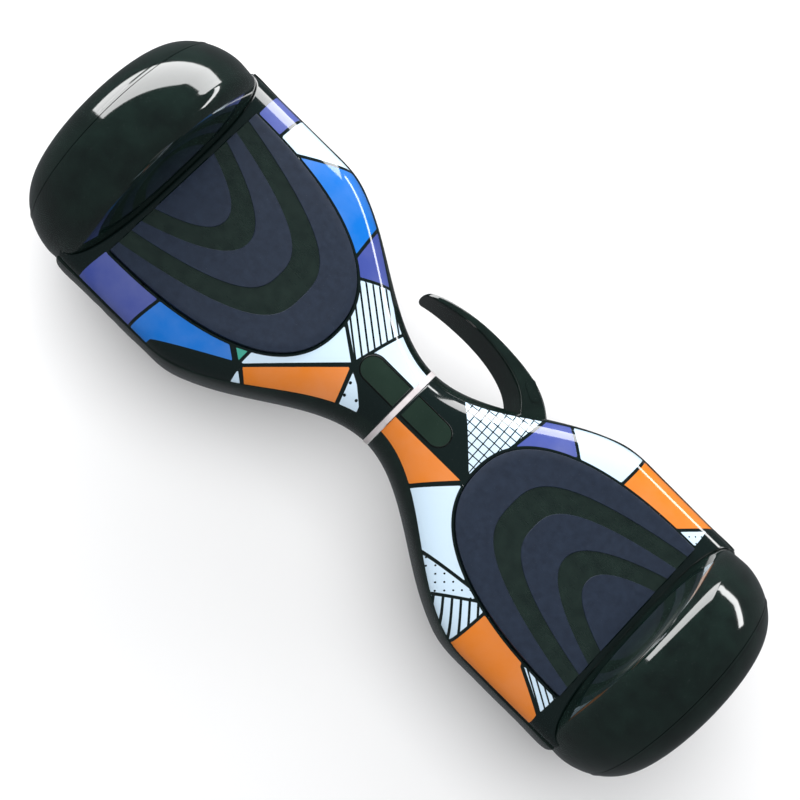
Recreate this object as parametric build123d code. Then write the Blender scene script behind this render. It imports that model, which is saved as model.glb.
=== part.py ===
from build123d import *
import math
import os

# Self balancing board: two shells joined by a twisting pivot, a hub-motor wheel at each end.
# Frame: X along the axles (right half positive), Y across (front, with the carry handle, positive),
# Z up, origin on the floor under the pivot. Millimetres.

# Overall sizes
tyre_radius = 82.5          # 6.5 inch wheel
fender_clearance = 8.5      # tread to the fender's crown
body_over_fender = 2.0      # the shells stand this far outside the fender
deck_over_axle = 34.5
pivot_over_axle = 3.5
hub_reach = 292.0           # middle of the board to the outer face of a hub cap
fender_reach = 283.0        # middle of the board to the fender's outer lip
fender_radius = tyre_radius + fender_clearance      # crown of the fender about the axle
body_half_width = fender_radius + body_over_fender  # widest half width of a half shell
waist_half_width = 32.5
deck_height = tyre_radius + deck_over_axle
belly_height = 30.0         # ground clearance
waist_belly_height = 49.0
pivot_height = tyre_radius + pivot_over_axle
shoulder_length = 145.0     # pivot to where the shell reaches its full width
body_end = 231.0            # pivot to the end of a half shell, under the fender
fender_foot = 210.0         # pivot to the foot of the fender's inner wall
fender_foot_radius = 30.0

# Walls and clearances
wall = 3.0
fender_wall = 2.5
joint_gap = 0.4             # between the two halves at the waist
fit_gap = 0.15              # fixed pieces set in openings
slide_gap = 0.4             # round moving pieces in openings
run_gap = 0.05              # radial, shafts in bearings and bushes
cover_step = 0.8            # the top cover sits this far inside the lower shell's edge
seam_waist_depth = 10.0     # seam below the deck, at the waist and at the wide end
seam_wide_depth = 21.0

# Foot pad
pad_tip = 66.0
pad_end = 205.5
pad_half_width = 67.0
pad_squareness = 2.35
pad_thickness = 5.0
pad_proud = 1.5
pad_travel = 1.2
plunger_radius = 3.6
plunger_x = 130.0
plunger_y = 25.0

# Pivot
tube_radius = 15.0
tube_bore = 12.0
tube_overhang = 5.0         # past the right boss, for the retaining ring
bush_wall = 3.0
bush_length = 14.0
boss_radius = 23.0
boss_start = 6.0
boss_end = 62.0
clip_thickness = 1.5
ring_half_width = 1.7
twist_limit = 12.0          # degrees each way
stop_pin_radius = 3.0

# Wheel
wheel_x = 246.0
tyre_width = 44.0
rim_radius = 60.0
rim_wall = 4.0
magnet_thickness = 2.5
air_gap = 0.6
stator_width = 22.0
stator_teeth = 18
axle_radius = 6.0
bearing_radius = 14.0
bearing_width = 8.0
cover_thickness = 3.0

# Frame inside a half
plate_z = tyre_radius - 8.5
plate_thickness = 4.0
plate_end = 203.0
post_radius = 6.0
axle_block_start = 168.0
axle_block_half_width = 20.0
clamp_height = 14.0
screw_radius = 1.6
bolt_radius = 2.5

# Other pieces
lamp_x = 150.0
lamp_z = 66.0
lamp_length = 46.0
lamp_height = 12.0
button_x = 150.0            # on the left half
port_x = 186.0
control_z = 62.0
control_face = 88.0         # flat seat sunk in the rear wall
control_boss = 80.0
flange_radius = 12.0
flange_thickness = 1.5
barrel_radius = 10.0
button_radius = 7.0
button_travel = 1.5
socket_radius = 7.0
cap_radius = 8.5
cap_thickness = 1.5
cap_pin_radius = 0.6
window_start = 3.6
window_end = 40.0
window_half_width = 10.0
window_thickness = 2.0
pcb_thickness = 1.6
switch_top = plate_z + 21.0

# Carry handle, on the front of the right half
handle_x = 70.0             # its two bolts
handle_bolt_heights = (76.0, 90.0)
handle_boss = 48.0          # inner face of the seat for the bolt heads
handle_bottom = 68.0
handle_top = 97.0
handle_edge = 3.0

right = 1
left = -1
side_name = {right: "right", left: "left"}


def smooth(t):
    """Smooth step from 0 to 1."""
    t = min(max(t, 0.0), 1.0)
    return t * t * (3 - 2 * t)


def section(x, inset=0.0):
    """Half width, middle height, top, bottom and squareness of the shell at a distance from the pivot."""
    s = smooth(x / shoulder_length)
    half_width = waist_half_width + (body_half_width - waist_half_width) * s
    middle = pivot_height - 4.0 * s
    belly_s = smooth(x / (0.62 * shoulder_length))
    bottom = waist_belly_height + (belly_height - waist_belly_height) * belly_s
    squareness = 2.2 + 1.6 * s
    return half_width - inset, middle, deck_height - inset, bottom + inset, squareness


def section_wire(x, inset=0.0, side_inset=0.0, points=32):
    """Closed curve |y/a|^n + |z/b|^n = 1, with its own height above and below the middle."""
    a, middle, top, bottom, n = section(x, inset)
    a -= side_inset
    ring = []
    for i in range(points):
        t = 2 * math.pi * (i + 0.5) / points
        c, s = math.cos(t), math.sin(t)
        b = top - middle if s > 0 else middle - bottom
        y = a * math.copysign(abs(c) ** (2 / n), c)
        z = middle + b * math.copysign(abs(s) ** (2 / n), s)
        ring.append((x, y, z))
    return Wire([Spline(*ring, periodic=True)])


def envelope(start, end, inset=0.0, side_inset=0.0):
    """Solid of a half's outer shape, or of its inside where an inset is given."""
    count = 13
    stations = [start + (end - start) * i / (count - 1) for i in range(count)]
    return Solid.make_loft([section_wire(x, inset, side_inset) for x in stations])


def belly_at(x, y):
    """Height of the shell's underside at a place on it."""
    a, middle, top, bottom, n = section(x)
    return middle - (middle - bottom) * (1 - (abs(y) / a) ** n) ** (1 / n)


def rod(start, end, radius, y=0.0, z=0.0):
    """Cylinder along X."""
    return Pos((start + end) / 2, y, z) * Rot(0, 90, 0) * Cylinder(radius, end - start)


def pipe(start, end, outer, inner, y=0.0, z=0.0):
    return rod(start, end, outer, y, z) - rod(start - 1, end + 1, inner, y, z)


def post(x, y, bottom, top, radius):
    """Cylinder along Z."""
    return Pos(x, y, (bottom + top) / 2) * Cylinder(radius, top - bottom)


def block(x0, x1, y0, y1, z0, z1):
    return Pos((x0 + x1) / 2, (y0 + y1) / 2, (z0 + z1) / 2) * Box(x1 - x0, y1 - y0, z1 - z0)


def mirrored(shape, side):
    return shape if side == right else mirror(shape, about=Plane.YZ)


# ---------------------------------------------------------------- shells

def seam_cut(top_side):
    """Everything above the seam, or below it. The seam dips from the waist to the wide end."""
    z0 = deck_height - seam_waist_depth
    z1 = deck_height - seam_wide_depth
    reach = body_end + 20
    wave = Spline((-5, z0), (0.2 * shoulder_length, z0 - 0.05 * (z0 - z1)),
                  (0.6 * shoulder_length, 0.5 * (z0 + z1)), (shoulder_length, z1), (reach, z1))
    far = deck_height + 30 if top_side else -10
    lines = [wave, Line((reach, z1), (reach, far)), Line((reach, far), (-5, far)), Line((-5, far), (-5, z0))]
    face = make_face(Plane.XZ * Wire(lines))
    return extrude(face, amount=2 * body_half_width, both=True)


def pad_outline(grow=0.0, points=22):
    """Shield outline: superellipse towards the pivot, straight across beside the fender."""
    a = pad_end - pad_tip + grow
    b = pad_half_width + grow
    arc = []
    for i in range(points + 1):
        t = math.pi * (i / points - 0.5)
        c, s = math.cos(t), math.sin(t)
        x = pad_end - a * c ** (2 / pad_squareness)
        arc.append((x, b * math.copysign(abs(s) ** (2 / pad_squareness), s)))
    arc[0] = (pad_end, -b)
    arc[-1] = (pad_end, b)
    curve = Spline(*arc)
    corner = pad_end + grow
    ends = [(pad_end, b), (corner, b), (corner, -b), (pad_end, -b)] if grow else [(pad_end, b), (pad_end, -b)]
    return make_face(Wire([curve] + list(Polyline(*ends).edges())))


def pad_prism(z0, z1, grow=0.0):
    return Pos(0, 0, z0) * extrude(pad_outline(grow), amount=z1 - z0)


pad_bottom = deck_height + pad_proud - pad_thickness
pocket_floor = pad_bottom - pad_travel - 0.4
tray_bottom = pocket_floor - wall
screw_seat = pocket_floor - 2.2
pad_posts = [(101.0, 40.0), (101.0, -40.0), (188.0, 50.0), (188.0, -50.0)]


def window_prism(grow=0.0):
    length = window_end - window_start
    r = window_half_width + grow
    round_x = window_end - window_half_width
    pill = block(window_start - grow - 2, round_x, -r, r, deck_height - 25, deck_height + 5)
    pill += post(round_x, 0, deck_height - 25, deck_height + 5, r)
    return pill & block(window_start - grow, window_start + length + r, -r, r, 0, deck_height + 20)


def dome(x, drop):
    """Point of the fender's outer profile: distance along the axle, and its drop from the crown."""
    return x, fender_radius - drop


fender_outer = [(fender_foot, fender_foot_radius), dome(211.5, 31.0), dome(214.0, 19.0), dome(219.0, 8.0),
                dome(225.0, 2.6), dome(231.0, 0.7), dome(238.0, 0.0), dome(246.0, 0.2), dome(256.0, 2.6),
                dome(262.0, 5.6)]
crease = 5                  # the point of the profile where the crease is
trim_outer = [dome(262.0, 6.2), dome(267.0, 10.4), dome(273.0, 17.4), dome(278.4, 26.6), dome(281.6, 33.0)]


def inner_side(outer, thickness):
    """Points of a wall's inner side, each moved from the outer side along the local normal."""
    inner = []
    for i, (x, r) in enumerate(outer):
        before = outer[max(i - 1, 0)]
        after = outer[min(i + 1, len(outer) - 1)]
        dx, dr = after[0] - before[0], after[1] - before[1]
        size = math.hypot(dx, dr)
        inner.append((x + thickness * dr / size, r - thickness * dx / size))
    return inner


def on_profile(point):
    """Place of an (x, radius) pair in the plane through the axle."""
    return (point[0], 0, tyre_radius + point[1])


def arch(outer_curves, outer, inner):
    """Wall swept round the axle between two profiles, without its part near the floor."""
    lines = [Line(on_profile(outer[-1]), on_profile(inner[-1])),
             Spline(*[on_profile(p) for p in reversed(inner)]),
             Line(on_profile(inner[0]), on_profile(outer[0]))]
    face = make_face(Wire(outer_curves + lines))
    ring = revolve(face, axis=Axis((0, 0, tyre_radius), (1, 0, 0)))
    reach = 2 * fender_radius
    return ring & block(0, fender_reach + 50, -reach, reach, fender_cut, 2 * reach)


def dome_solid(grow=0.0):
    """Filled shape of the fender, grown by a clearance, for cutting the shells round it."""
    points = [on_profile((x - grow, r + grow)) for x, r in fender_outer]
    reach = fender_reach + 20
    edge = Spline(*points)
    axis_z = tyre_radius
    lines = [edge,
             Line(points[-1], (reach, 0, points[-1][2])),
             Line((reach, 0, points[-1][2]), (reach, 0, axis_z)),
             Line((reach, 0, axis_z), (points[0][0], 0, axis_z)),
             Line((points[0][0], 0, axis_z), points[0])]
    return revolve(make_face(Wire(lines)), axis=Axis((0, 0, tyre_radius), (1, 0, 0)))


fender_cut = 44.0           # height where the fender's two legs end


def fender():
    """Domed arch over the wheel, with a crisp crease between its inner wall and its crown."""
    inner = inner_side(fender_outer, fender_wall)
    inner[0] = (fender_outer[0][0] + fender_wall, fender_outer[0][1])
    inner[-1] = (fender_outer[-1][0], inner[-1][1])
    points = [on_profile(p) for p in fender_outer]
    curves = [Spline(*points[:crease + 1]), Spline(*points[crease:])]
    return arch(curves, fender_outer, inner)


def fender_trim():
    """Lip strip that carries on the dome past the seam."""
    inner = inner_side(trim_outer, fender_wall)
    inner[0] = (trim_outer[0][0], trim_outer[0][1] - fender_wall)
    return arch([Spline(*[on_profile(p) for p in trim_outer])], trim_outer, inner)


def shell_ring(side_inset=0.0):
    """Hollow half shell, open at both ends."""
    start = ring_half_width + joint_gap
    return envelope(start, body_end, 0.0, side_inset) - envelope(start - 1.5, body_end + 2, wall)


def top_cover():
    """Printed deck cover: cap of the envelope above the seam, with a tray for the foot pad."""
    cover = shell_ring(cover_step) & seam_cut(True)
    tray = pad_prism(tray_bottom, deck_height - 0.5, wall)
    tray &= envelope(ring_half_width + 2, body_end, 0.5 * wall)
    cover += tray
    cover -= pad_prism(pocket_floor, deck_height + 5, 0.5)
    cover -= dome_solid(fit_gap)
    cover -= window_prism(fit_gap)
    for y in (plunger_y, -plunger_y):
        cover -= post(plunger_x, y, tray_bottom - 5, deck_height, plunger_radius + slide_gap + 0.2)
    for x, y in pad_posts:
        cover -= post(x, y, tray_bottom - 1, pocket_floor, screw_radius + 0.05)
        cover -= post(x, y, screw_seat, deck_height, 2 * screw_radius + 0.1)
    return cover


well_wall_x = 204.0         # inner face of the wall that closes a half beside its wheel


def lower_shell(side):
    """Deep shell below the seam, closed beside the wheel and open at the waist."""
    whole = envelope(ring_half_width + joint_gap, body_end)
    shell = shell_ring() - seam_cut(True)
    closing = (whole & block(well_wall_x, well_wall_x + wall, -150, 150, 0, 200)) - seam_cut(True)
    shell += closing
    shell -= dome_solid(fit_gap)
    shell -= rod(well_wall_x - 5, well_wall_x + 20, axle_radius + 1.0, 0, tyre_radius)
    for x, y in shell_screw_places:
        shell += whole & post(x, y, belly_height - 1, plate_z, post_radius)
        shell -= post(x, y, belly_height - 5, belly_at(x, y) + screw_sink, 2 * screw_radius + 0.4)
        shell -= post(x, y, belly_height - 5, plate_z + 1, screw_radius + 0.05)
    shell -= lamp_prism(fit_gap)
    if side == left:
        for x in (button_x, port_x):
            shell += whole & block(x - 17, x + 17, -150, -control_boss, control_z - 16, control_z + 16)
            shell -= rear_disc(x, flange_radius + fit_gap, 150, control_face)
            shell -= rear_disc(x, barrel_radius + fit_gap, 150, control_boss - 1)
    else:
        shell += whole & block(handle_x - 9, handle_x + 9, handle_boss, 150, handle_bottom, handle_top)
        for z in handle_bolt_heights:
            shell -= cross_rod(handle_x, z, handle_boss - 5, handle_boss + 30, bolt_radius)
    return shell


shell_screw_places = [(78.0, 0.0), (99.0, 45.0), (99.0, -45.0), (196.0, 60.0), (196.0, -60.0)]
screw_sink = 4.0            # screw heads sit this far inside the underside


def lamp_prism(grow=0.0):
    """Rounded bar through the front wall."""
    half = lamp_length / 2 - lamp_height / 2
    r = lamp_height / 2 + grow
    y0, y1 = body_half_width - 14, body_half_width + 10
    bar = block(lamp_x - half, lamp_x + half, y0, y1, lamp_z - r, lamp_z + r)
    for x in (lamp_x - half, lamp_x + half):
        bar += Pos(x, (y0 + y1) / 2, lamp_z) * Rot(90, 0, 0) * Cylinder(r, y1 - y0)
    return bar


def lamp_lens():
    start = shoulder_length * 0.5
    skin = envelope(start, body_end) - envelope(start - 1, body_end + 1, wall + 1.5)
    return skin & lamp_prism()


def status_window():
    """Clear pill set flush in the cover, with a flange under it."""
    start = ring_half_width + joint_gap
    skin = envelope(start, shoulder_length, 0.0, cover_step)
    skin -= envelope(start - 1, shoulder_length + 1, window_thickness)
    return skin & window_prism()


def foot_pad():
    """Rubber mat on its press plate, with two plungers down to the switches."""
    pad = pad_prism(pad_bottom, deck_height + pad_proud)
    for y in (plunger_y, -plunger_y):
        pad += post(plunger_x, y, switch_top - 5, pad_bottom + 1, plunger_radius)
    return pad


def cross_rod(x, z, y0, y1, radius):
    """Cylinder along Y."""
    return Pos(x, (y0 + y1) / 2, z) * Rot(90, 0, 0) * Cylinder(radius, y1 - y0)


def rear_disc(x, radius, y_outer, y_inner):
    """Cylinder along Y behind the rear wall, between two distances from the middle."""
    return cross_rod(x, control_z, -y_outer, -y_inner, radius)


def control_bezel(barrel_end):
    """Round flange sunk in the rear wall, with its barrel."""
    bezel = rear_disc(0, flange_radius, control_face + flange_thickness, control_face)
    return bezel + rear_disc(0, barrel_radius, control_face, barrel_end)


button_face = control_face + flange_thickness + 1.0
button_back = 80.5


def button_bezel():
    barrel_end = button_back - button_travel - 2.0
    bezel = control_bezel(barrel_end)
    bore = rear_disc(0, button_radius + slide_gap, 100, button_back - button_travel - 0.2)
    return Pos(button_x, 0, 0) * (bezel - bore)


def power_button():
    button = rear_disc(button_x, button_radius, button_face, button_back)
    rim = rear_disc(button_x, button_radius - 1.6, button_face + 1, button_face - 0.5)
    return button - rim


cap_y = control_face + flange_thickness + 0.3
hinge_y = control_face + flange_thickness + 1.5
hinge_z = control_z + flange_radius - 2.2


def charge_port():
    port = control_bezel(74.0)
    port -= rear_disc(0, socket_radius, 100, 77.0)
    for angle in (90, 210, 330):
        y, z = 2.8 * math.cos(math.radians(angle)), 2.8 * math.sin(math.radians(angle))
        port += cross_rod(y, control_z + z, -86.0, -76.0, 1.0)
    for x in (-4.0, 4.0):
        port += block(x - 0.8, x + 0.8, -hinge_y - 1.0, -control_face - 0.5, hinge_z - 1.0, hinge_z + 1.0)
    port += rod(-4.5, 4.5, cap_pin_radius, -hinge_y, hinge_z)
    return Pos(port_x, 0, 0) * port


def port_cap():
    outer = cap_y + cap_thickness
    inner = cap_y
    cap = rear_disc(0, cap_radius, outer, inner)
    cap += block(-2.6, 2.6, -outer, -inner, control_z, hinge_z)
    cap += rod(-2.8, 2.8, 1.25, -hinge_y, hinge_z)
    cap -= rod(-5, 5, cap_pin_radius + run_gap, -hinge_y, hinge_z)
    return Pos(port_x, 0, 0) * cap


# ---------------------------------------------------------------- carry handle

def handle_plan():
    """Curved blade seen from above, from the bolted base to the free tip."""
    outer = Spline((82.0, 64.0), (60.0, 77.0), (34.0, 82.0), (8.0, 81.5), (-18.0, 78.0), (-40.0, 69.0))
    tip = ThreePointArc((-40.0, 69.0), (-45.5, 64.5), (-42.0, 62.0))
    inner = Spline((-42.0, 62.0), (-14.0, 67.0), (13.0, 67.5), (32.0, 65.0), (50.0, 55.0), (56.0, 44.0))
    base = Polyline((56.0, 44.0), (82.0, 44.0), (82.0, 64.0))
    return make_face(Wire([outer, tip, inner] + list(base.edges())))


def carry_handle():
    bar = Pos(0, 0, handle_bottom) * extrude(handle_plan(), amount=handle_top - handle_bottom)
    long_edges = bar.edges().filter_by(lambda e: e.bounding_box().size.Z < 0.01 and e.length > 60)
    bar = fillet(long_edges, handle_edge)
    start = ring_half_width + joint_gap
    bar -= envelope(start, body_end)
    for z in handle_bolt_heights:
        bar -= cross_rod(handle_x, z, 0, 70.0, bolt_radius)
    bar -= handle_cover_prism(0.1)
    return bar


def handle_cover_prism(grow=0.0):
    """Pill-shaped plug in the top of the handle, over its base."""
    r = 3.6 + grow
    pill = Pos(0, 0, -1) * extrude(SlotCenterToCenter(9.0, 2 * r), amount=3)
    return Pos(56.0, 71.5, handle_top - 1.0) * Rot(0, 0, -28) * pill & block(0, 100, 0, 100, 0, handle_top)


def handle_bolts():
    bolts = []
    for z in handle_bolt_heights:
        bolt = cross_rod(handle_x, z, handle_boss - 3.0, handle_boss, 2 * bolt_radius)
        bolt += cross_rod(handle_x, z, handle_boss, 69.0, bolt_radius)
        bolts.append(bolt)
    return bolts


# ---------------------------------------------------------------- frame, pivot and electronics

def axle():
    bar = rod(axle_block_start - 3, wheel_x + 0.5 * tyre_width + 2, axle_radius, 0, tyre_radius)
    flats = block(axle_block_start - 10, plate_end, -20, 20, tyre_radius - 20, tyre_radius + 20)
    flats -= block(axle_block_start - 10, plate_end, -4.6, 4.6, tyre_radius - 20, tyre_radius + 20)
    return bar - flats


pcb_x0, pcb_x1, pcb_half = 108.0, 152.0, 34.0
pcb_z = plate_z + plate_thickness + 2.0


def chassis(side):
    """Cast frame: pivot boss, plate, posts under the pad tray and the block that holds the axle."""
    plate = block(30, plate_end, -34, 34, plate_z, plate_z + plate_thickness)
    plate += block(88, plate_end, -66, 66, plate_z, plate_z + plate_thickness)
    frame = plate & envelope(20, body_end, wall + 2.0)
    for x, y in pad_posts:
        frame += post(x, y, plate_z + 1, tray_bottom, post_radius)
        frame -= post(x, y, tray_bottom - 16, tray_bottom + 1, screw_radius)
    for x in (pcb_x0 + 4, pcb_x1 - 4):
        for y in (-pcb_half + 4, pcb_half - 4):
            frame += post(x, y, plate_z + 1, pcb_z, 3.0)
    for y in (-46.0, 46.0):
        frame -= post(146, y, plate_z - 5, plate_z + 10, 9.0)
        frame -= post(168, y, plate_z - 5, plate_z + 10, 7.0)
    frame += block(axle_block_start, plate_end, -axle_block_half_width, axle_block_half_width,
                   plate_z - 3, tyre_radius)
    frame += rod(boss_start, boss_end, boss_radius, 0, pivot_height)
    frame -= axle()
    bore = tube_radius if side == left else tube_radius + bush_wall
    frame -= rod(0, boss_end + 40, bore, 0, pivot_height)
    for x, y in shell_screw_places:
        frame -= post(x, y, plate_z - 1, plate_z + plate_thickness + 1, screw_radius)
    for x, y in clamp_bolt_places:
        frame -= post(x, y, plate_z - 4, tyre_radius + 1, bolt_radius)
    if side == right:
        frame -= stop_slot()
        frame -= rod(boss_end, clip_x + clip_thickness + 1, tube_radius + 5.0, 0, pivot_height)
        for x, y in board_posts:
            frame += post(x, y, board_z + pcb_thickness, plate_z + 1, 3.0)
    else:
        frame -= stop_pin()
        frame -= post(loom_x, 0, plate_z - 1, plate_z + plate_thickness + 1, loom_radius + 2)
    return frame


clamp_bolt_places = [(174.0, 13.0), (174.0, -13.0), (197.0, 13.0), (197.0, -13.0)]


def axle_clamp():
    """Clamp over the axle's flats, and its four bolts."""
    y = axle_block_half_width
    clamp = block(axle_block_start, plate_end, -y, y, tyre_radius, tyre_radius + clamp_height)
    top_edges = clamp.edges().group_by(Axis.Z)[-1]
    clamp = chamfer(top_edges, 2.0) - axle()
    top = tyre_radius + clamp_height
    bolts = []
    for x, y in clamp_bolt_places:
        clamp -= post(x, y, 0, 200, bolt_radius)
        head = post(x, y, top, top + 4, 2 * bolt_radius - 0.6)
        bolts.append(post(x, y, plate_z - 3, top, bolt_radius) + head)
    return [clamp] + bolts


stop_x = 35.0               # pin across the pivot tube


def stop_pin():
    return post(stop_x, 0, pivot_height - boss_radius + 1, pivot_height + boss_radius - 1, stop_pin_radius)


def stop_slot():
    """Bow-tie slot through the right boss, in which the pin turns."""
    length = 2 * stop_pin_radius + 1.0
    half = 1.2 * boss_radius
    spread = math.tan(math.radians(twist_limit + 3.0)) * half
    near = stop_pin_radius + 0.8
    shape = Polyline((-near, 0), (-near - spread, half), (near + spread, half), (near, 0),
                     (near + spread, -half), (-near - spread, -half), close=True)
    face = Plane.YZ * make_face(Wire(shape.edges()))
    return Pos(stop_x, 0, pivot_height) * extrude(face, amount=length / 2, both=True)


clip_x = boss_end + 0.3


def pivot_tube():
    tube = pipe(-boss_end, boss_end + tube_overhang, tube_radius, tube_bore, 0, pivot_height)
    tube -= mirror(stop_pin(), about=Plane.YZ)
    tube -= stop_pin()
    return tube - pipe(clip_x, clip_x + clip_thickness, tube_radius + 1, tube_radius - 1.0, 0, pivot_height)


def pivot_pins():
    """Left pin locks the tube, right pin limits the twist. The wires pass between their ends."""
    keep_clear = rod(-100, 100, tube_bore, 0, pivot_height)
    pins = (stop_pin() - keep_clear).solids() + (mirror(stop_pin(), about=Plane.YZ) - keep_clear).solids()
    return list(pins)


def pivot_bushes():
    outer, inner = tube_radius + bush_wall, tube_radius + run_gap
    return [pipe(boss_start, boss_start + bush_length, outer, inner, 0, pivot_height),
            pipe(boss_end - bush_length, boss_end, outer, inner, 0, pivot_height)]


def retaining_ring():
    ring = pipe(clip_x, clip_x + clip_thickness, tube_radius + 4.0, tube_radius - 1.0, 0, pivot_height)
    return ring - block(clip_x - 1, clip_x + clip_thickness + 1, -5, 5, pivot_height - 30, pivot_height)


def pivot_ring():
    """Bright trim ring round the waist, fixed to the left half."""
    outer = section_wire(0.0, -0.4)
    inner = section_wire(0.0, 3.5)
    face = make_face(outer) - make_face(inner)
    width = 2 * ring_half_width + joint_gap
    return Pos(-ring_half_width - joint_gap, 0, 0) * extrude(face, amount=width, dir=(1, 0, 0))


battery_bottom = belly_height + wall + 4.0
battery_top = battery_bottom + 33.0


def battery_pack():
    pack = block(-194, -112, -54, 54, battery_bottom, battery_top)
    return fillet(pack.edges().filter_by(Axis.X), 5.0)


def battery_bracket():
    """Sheet cradle hung from the frame plate."""
    sheet = 1.5
    x0, x1, y, z = -180.0, -126.0, 54.2, battery_bottom - sheet
    cradle = block(x0, x1, -y - sheet, y + sheet, z, plate_z)
    cradle -= block(x0 - 1, x1 + 1, -y, y, z + sheet, plate_z + 1)
    for side in (-1, 1):
        near, far = sorted((side * y, side * (y + 8)))
        cradle += block(x0, x1, near, far, plate_z - sheet, plate_z)
    return cradle


board_x0, board_x1, board_half, board_z = 108.0, 188.0, 45.0, 58.0
board_posts = [(113.0, 38.0), (113.0, -38.0), (183.0, 38.0), (183.0, -38.0)]


def main_board():
    """Motor controller with its capacitors, heat sink and sockets."""
    board = block(board_x0, board_x1, -board_half, board_half, board_z, board_z + pcb_thickness)
    for y in (-14.0, 0.0, 14.0):
        board += post(122, y, board_z - 14, board_z, 5.0)
    board += block(140, 176, -26, -14, board_z - 9, board_z)
    board += block(140, 176, 14, 26, board_z - 9, board_z)
    for i in range(5):
        board += block(141 + 7 * i, 145 + 7 * i, -12, 12, board_z - 12, board_z)
    for y in (-36.0, 36.0):
        board += block(134, 150, y - 4, y + 4, board_z - 7, board_z)
    return board


def sensor_board():
    """Tilt sensor board with a light-gate switch under each plunger."""
    board = block(pcb_x0, pcb_x1, -pcb_half, pcb_half, pcb_z, pcb_z + pcb_thickness)
    board += block(124, 136, -6, 6, pcb_z + pcb_thickness, pcb_z + pcb_thickness + 2)
    for y in (-14.0, 14.0):
        board += block(112, 118, y - 5, y + 5, pcb_z + pcb_thickness, pcb_z + pcb_thickness + 5)
    for y in (-plunger_y, plunger_y):
        board += block(plunger_x - 7, plunger_x + 7, y - 7, y + 7, pcb_z + pcb_thickness, switch_top)
        board -= post(plunger_x, y, switch_top - 9, switch_top + 1, plunger_radius + slide_gap + 0.2)
    return board


def shell_screws():
    """Screws from the pad tray down into the frame's posts, and from below up into its plate."""
    screws = []
    for x, y in pad_posts:
        screw = post(x, y, screw_seat - 13, screw_seat, screw_radius)
        screws.append(screw + post(x, y, screw_seat, screw_seat + 2, 2 * screw_radius))
    for x, y in shell_screw_places:
        head = belly_at(x, y) + screw_sink
        screw = post(x, y, head, plate_z + plate_thickness, screw_radius)
        screws.append(screw + post(x, y, head - 2, head, 2 * screw_radius))
    return screws


loom_x = 98.0
loom_radius = 3.6


def wiring_loom():
    """Sleeved wires from the battery, up and through the pivot tube to a plug in the right half."""
    start = (-112.0, 0, 60.0)
    end = boss_end + 18
    corners = [start, (-loom_x, 0, 60.0), (-loom_x, 0, pivot_height), (end, 0, pivot_height)]
    path = FilletPolyline(*corners, radius=6.0)
    sleeve = sweep(Plane(start, z_dir=(1, 0, 0)) * Circle(loom_radius), path=path)
    return sleeve + block(end - 1, end + 10, -6, 6, pivot_height - 4, pivot_height + 4)


# ---------------------------------------------------------------- wheel

rim_half = 20.0
magnet_radius = rim_radius - rim_wall
stator_radius = magnet_radius - magnet_thickness - air_gap


def about_axle(x0, x1, outer, inner):
    return pipe(x0, x1, outer, inner, 0, tyre_radius)


def axle_rod(x0, x1, radius, angle=0.0, reach=0.0):
    """Cylinder along X at a place on a circle about the axle."""
    y = reach * math.sin(math.radians(angle))
    z = tyre_radius + reach * math.cos(math.radians(angle))
    return rod(x0, x1, radius, y, z)


def tyre():
    half = tyre_width / 2
    bead = rim_half - 2.5
    shoulder = [(bead, 63.2), (half - 0.6, 68.0), (half, 72.0), (half - 2.5, 77.0),
                (half - 9.0, tyre_radius - 0.9),
                (0, tyre_radius), (9.0 - half, tyre_radius - 0.9), (2.5 - half, 77.0), (-half, 72.0),
                (0.6 - half, 68.0), (-bead, 63.2)]
    outside = [(wheel_x + x, 0, tyre_radius + r) for x, r in shoulder]
    foot_out = (wheel_x + bead, 0, tyre_radius + rim_radius)
    foot_in = (wheel_x - bead, 0, tyre_radius + rim_radius)
    outline = [Spline(*outside), Line(outside[-1], foot_in), Line(foot_in, foot_out),
               Line(foot_out, outside[0])]
    shape = revolve(make_face(Wire(outline)), axis=Axis((0, 0, tyre_radius), (1, 0, 0)))
    for x in (-8.0, 8.0):
        shape -= about_axle(wheel_x + x - 1.2, wheel_x + x + 1.2, tyre_radius + 5, tyre_radius - 2.2)
    return shape


def rim():
    shape = about_axle(wheel_x - rim_half, wheel_x + rim_half, rim_radius, magnet_radius)
    for x in (wheel_x - rim_half, wheel_x + rim_half - 2.5):
        shape += about_axle(x, x + 2.5, rim_radius + 3.0, rim_radius - 1)
    for x0, x1 in screw_spans:
        for k in range(6):
            shape -= axle_rod(x0, x1, 1.25, 60 * k, screw_circle)
    return shape


screw_circle = rim_radius - rim_wall / 2
screw_spans = [(wheel_x - rim_half - cover_thickness, wheel_x - rim_half + 8),
               (wheel_x + rim_half - 8, wheel_x + rim_half + cover_thickness)]


def magnet_ring():
    half = stator_width / 2 + 1
    return about_axle(wheel_x - half, wheel_x + half, magnet_radius, magnet_radius - magnet_thickness)


def slots(depth_from, depth_to, half_length, width):
    """One bar in each gap between the stator's teeth."""
    bars = []
    for k in range(stator_teeth):
        bar = block(wheel_x - half_length, wheel_x + half_length, -width / 2, width / 2,
                    tyre_radius + depth_from, tyre_radius + depth_to)
        bars.append(bar.rotate(Axis((0, 0, tyre_radius), (1, 0, 0)), 360 * k / stator_teeth))
    return bars


slot_width = 7.0
slot_floor = 37.0


def stator():
    half = stator_width / 2
    core = about_axle(wheel_x - half, wheel_x + half, stator_radius, 30.0)
    core += about_axle(wheel_x - 4, wheel_x + 4, 31.0, axle_radius)
    for bar in slots(slot_floor, stator_radius + 5, half + 1, slot_width):
        core -= bar
    for k in range(6):
        core -= axle_rod(wheel_x - 5, wheel_x + 5, 5.0, 60 * k, 19.0)
    return core


def windings():
    return slots(slot_floor, stator_radius - 1.5, stator_width / 2 + 2.5, slot_width)


bearing_out = wheel_x + rim_half + cover_thickness


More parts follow.
